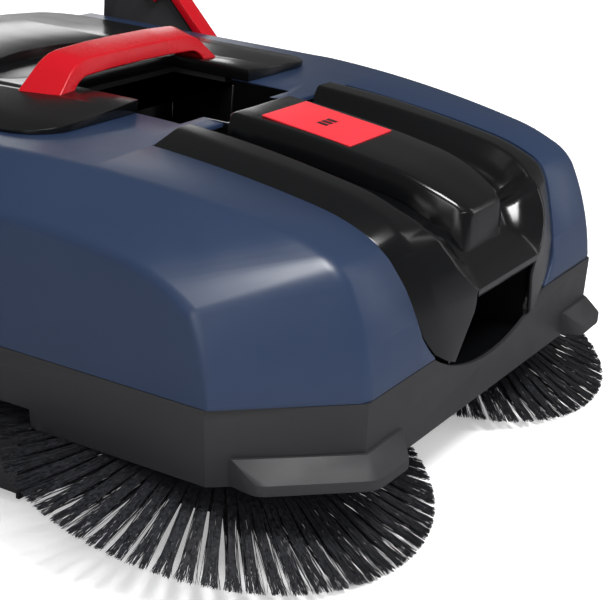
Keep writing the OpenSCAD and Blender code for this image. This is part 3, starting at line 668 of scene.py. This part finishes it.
def hair(verts, faces, points, width):
    """A three-sided tapering bristle through points."""
    first = len(verts)
    last = len(points) - 1
    for k, point in enumerate(points):
        ahead = points[min(k + 1, last)] - points[max(k - 1, 0)]
        side = ahead.cross(Vector((0, 0, 1))).normalized()
        over = side.cross(ahead).normalized()
        half = width * (1 - 0.45 * k / last)
        for turn in (0.5, 2.6, 4.7):
            verts.append(point + side * half * math.cos(turn) + over * half * math.sin(turn))
    for k in range(last):
        a = first + 3 * k
        faces += [(a + i, a + (i + 1) % 3, a + 3 + (i + 1) % 3, a + 3 + i) for i in range(3)]
    faces.append((first + 2, first + 1, first))
    tip = first + 3 * last
    faces.append((tip, tip + 1, tip + 2))


def make_bristles(side):
    """Tufts of bristles that fan out from the disc and rest their front tips on the floor."""
    verts, faces = [], []
    step = 2 * math.pi / TUFTS
    for tuft in range(TUFTS):
        middle = step * (tuft + 0.12 * (rng.random() - 0.5))
        for k in range(HAIRS):
            cluster = -1 if k % 2 else 1
            root = middle + step * 0.48 * (rng.random() * 2 - 1)
            spread = step * (0.21 * cluster + 0.11 * rng.gauss(0, 1))
            reach = BRUSH_R - abs(rng.gauss(0, 2.6)) - 0.3
            drop = 0.25 + 2.2 * rng.random()
            loft = rng.random()
            if k % 4 < 2:                     # rooted on the disc's top, over its rim
                stations = [(74, 20.2 + loft), (93, 17.8 + loft), (124, 9 + loft), (reach, drop)]
            else:
                stations = [(80, 9.6 + 3.2 * loft), (106, 6.6 + 2 * loft), (132, 3.4 + loft), (reach, drop)]
            inner = stations[0][0]
            path = []
            for radius, z in stations:
                angle = root + (middle + spread - root) * ((radius - inner) / (reach - inner)) ** 1.3
                path.append(Vector((radius * math.cos(angle), radius * math.sin(angle), z)))
            hair(verts, faces, path, 0.36)
    turn = (Matrix.Translation((side * BRUSH_X * MM, 0, BRUSH_R * math.sin(BRUSH_TILT) * MM))
            @ Matrix.Rotation(BRUSH_TILT, 4, "X") @ Matrix.Scale(MM, 4))
    mesh = bpy.data.meshes.new("bristles")
    mesh.from_pydata([turn @ v for v in verts], [], faces)
    word = "left" if side < 0 else "right"
    dress(new_object(word + "_bristle_tufts", mesh), word + "_bristles", angle=80)


def make_bumper(side):
    """A corner bumper: a slope leaves the base's wall at its top, above an upright shoulder."""
    top = [(255, -68), (193.5, -131.5), (143.5, -131), (143.5, -118), (249, -56)]
    corners = [(250, -56, 0), (255.5, -87.4, 0), (199.2, -143.7, 0), (154, -144.6, 0), (144, -118, 0)]
    shoulder = rounded(corners, [7, 9, 7], 5)
    points = [(*p, 80.8) for p in top] + [(p.x, p.y, z) for z in (61, 68.3) for p in shoulder]
    mesh = bmesh.new()
    for x, y, z in points:
        mesh.verts.new((side * x * MM, y * MM, z * MM))
    hull = bmesh.ops.convex_hull(mesh, input=mesh.verts)
    inside = [item for item in hull["geom_interior"] if isinstance(item, bmesh.types.BMVert)]
    bmesh.ops.delete(mesh, geom=inside, context="VERTS")
    bmesh.ops.dissolve_limit(mesh, angle_limit=math.radians(1), verts=mesh.verts, edges=mesh.edges)
    data = bpy.data.meshes.new("bumper")
    mesh.to_mesh(data)
    mesh.free()
    bumper = tidy(new_object("bumper", data))
    bevel(bumper, 1.6, 3, 18)
    dress(bumper, ("left" if side < 0 else "right") + "_bumper", angle=40)


make_camera()
make_studio()
make_cover()
make_insert()
make_block()
make_label()
make_handle()
for part_side in (-1, 1):
    make_bumper(part_side)
    make_bristles(part_side)


# ---- pieces taken over from the CAD model ------------------------------------
def refine(node, width):
    """A copy of a CAD piece with its edges rounded, which replaces it."""
    mesh = frame["nodes"][node].data.copy()
    piece = tidy(new_object(node + "_finished", mesh))
    shape = bmesh.new()
    shape.from_mesh(piece.data)
    bmesh.ops.dissolve_limit(shape, angle_limit=math.radians(0.6), verts=shape.verts, edges=shape.edges)
    shape.to_mesh(piece.data)
    shape.free()
    bevel(piece, width)
    dress(piece, node)


EDGE_WIDTHS = {
    "base_frame": 1.2,
    "container_tub": 1.5,
    "container_lid": 1.0,
    "left_bow_bracket": 1.0,
    "right_bow_bracket": 1.0,
    "left_clamp_lever": 1.2,
    "right_clamp_lever": 1.2,
    "dirt_ramp": 0.6,
    "bin_housing": 0.6,
}
for cad_name, edge_width in EDGE_WIDTHS.items():
    refine(cad_name, edge_width)

DISC_BLACK = plastic("disc_black", "#09090a", 0.55)
for name, piece in frame["nodes"].items():
    if not piece.hide_render:
        piece.data.materials.clear()
        piece.data.materials.append(DISC_BLACK if "brush_plate" in name else MATERIALS[SLOT_OF[name]])
        smooth(piece, 30)
